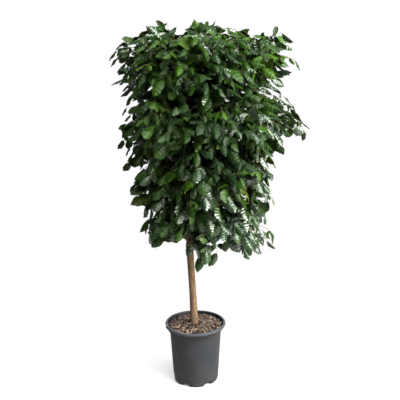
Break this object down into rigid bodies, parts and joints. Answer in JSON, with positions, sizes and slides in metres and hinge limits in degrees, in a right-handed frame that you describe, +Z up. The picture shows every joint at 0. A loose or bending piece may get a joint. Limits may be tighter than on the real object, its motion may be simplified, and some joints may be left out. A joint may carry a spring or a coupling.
{
  "type": "potted standard foliage tree",
  "caption": "Potted standard foliage tree: a clear leaning trunk in a round nursery pot, forking into boughs that carry a tall, loose head of glossy compound leaves, widest at the top.",
  "frame": {"origin": "centre of the flat underside of the pot, on the surface it stands on", "axes": "+Z up; -Y is the front, which the tree is seen from; +X is to the right as seen from the front"},
  "size_m": [0.8716, 0.6977, 1.634],
  "materials": {
    "pot": "matt charcoal moulded plastic, lighter and bluer on the rolled rim, faintly dusty",
    "soil": "dull crumbly potting compost under tan and brown bark chips",
    "bark": "thin tan-brown bark, fine upright streaks, matt",
    "foliage": "glossy dark green leaflets, paler and matt underneath"
  },
  "bodies": {
    "root": {"pot": "pot", "soil": "soil", "trunk": "bark", "bough_leader": "bark", "bough_lower_left": "bark", "bough_skirt_right": "bark", "bough_skirt_back": "bark", "bough_skirt_left": "bark", "bough_skirt_front": "bark", "bough_lower_right": "bark", "bough_lower_back": "bark", "bough_lower_front": "bark", "bough_upper_right": "bark", "bough_upper_back": "bark", "bough_upper_left": "bark", "bough_upper_front": "bark", "bough_top_right": "bark", "bough_top_back": "bark", "bough_top_left": "bark", "bough_top_front": "bark", "foliage_skirt_right": "foliage", "foliage_skirt_back": "foliage", "foliage_skirt_left": "foliage", "foliage_skirt_front": "foliage", "foliage_lower_right": "foliage", "foliage_lower_back": "foliage", "foliage_lower_left": "foliage", "foliage_lower_front": "foliage", "foliage_upper_right": "foliage", "foliage_upper_back": "foliage", "foliage_upper_left": "foliage", "foliage_upper_front": "foliage", "foliage_top_right": "foliage", "foliage_top_back": "foliage", "foliage_top_left": "foliage", "foliage_top_front": "foliage", "foliage_cap": "foliage"}
  },
  "joints": []
}
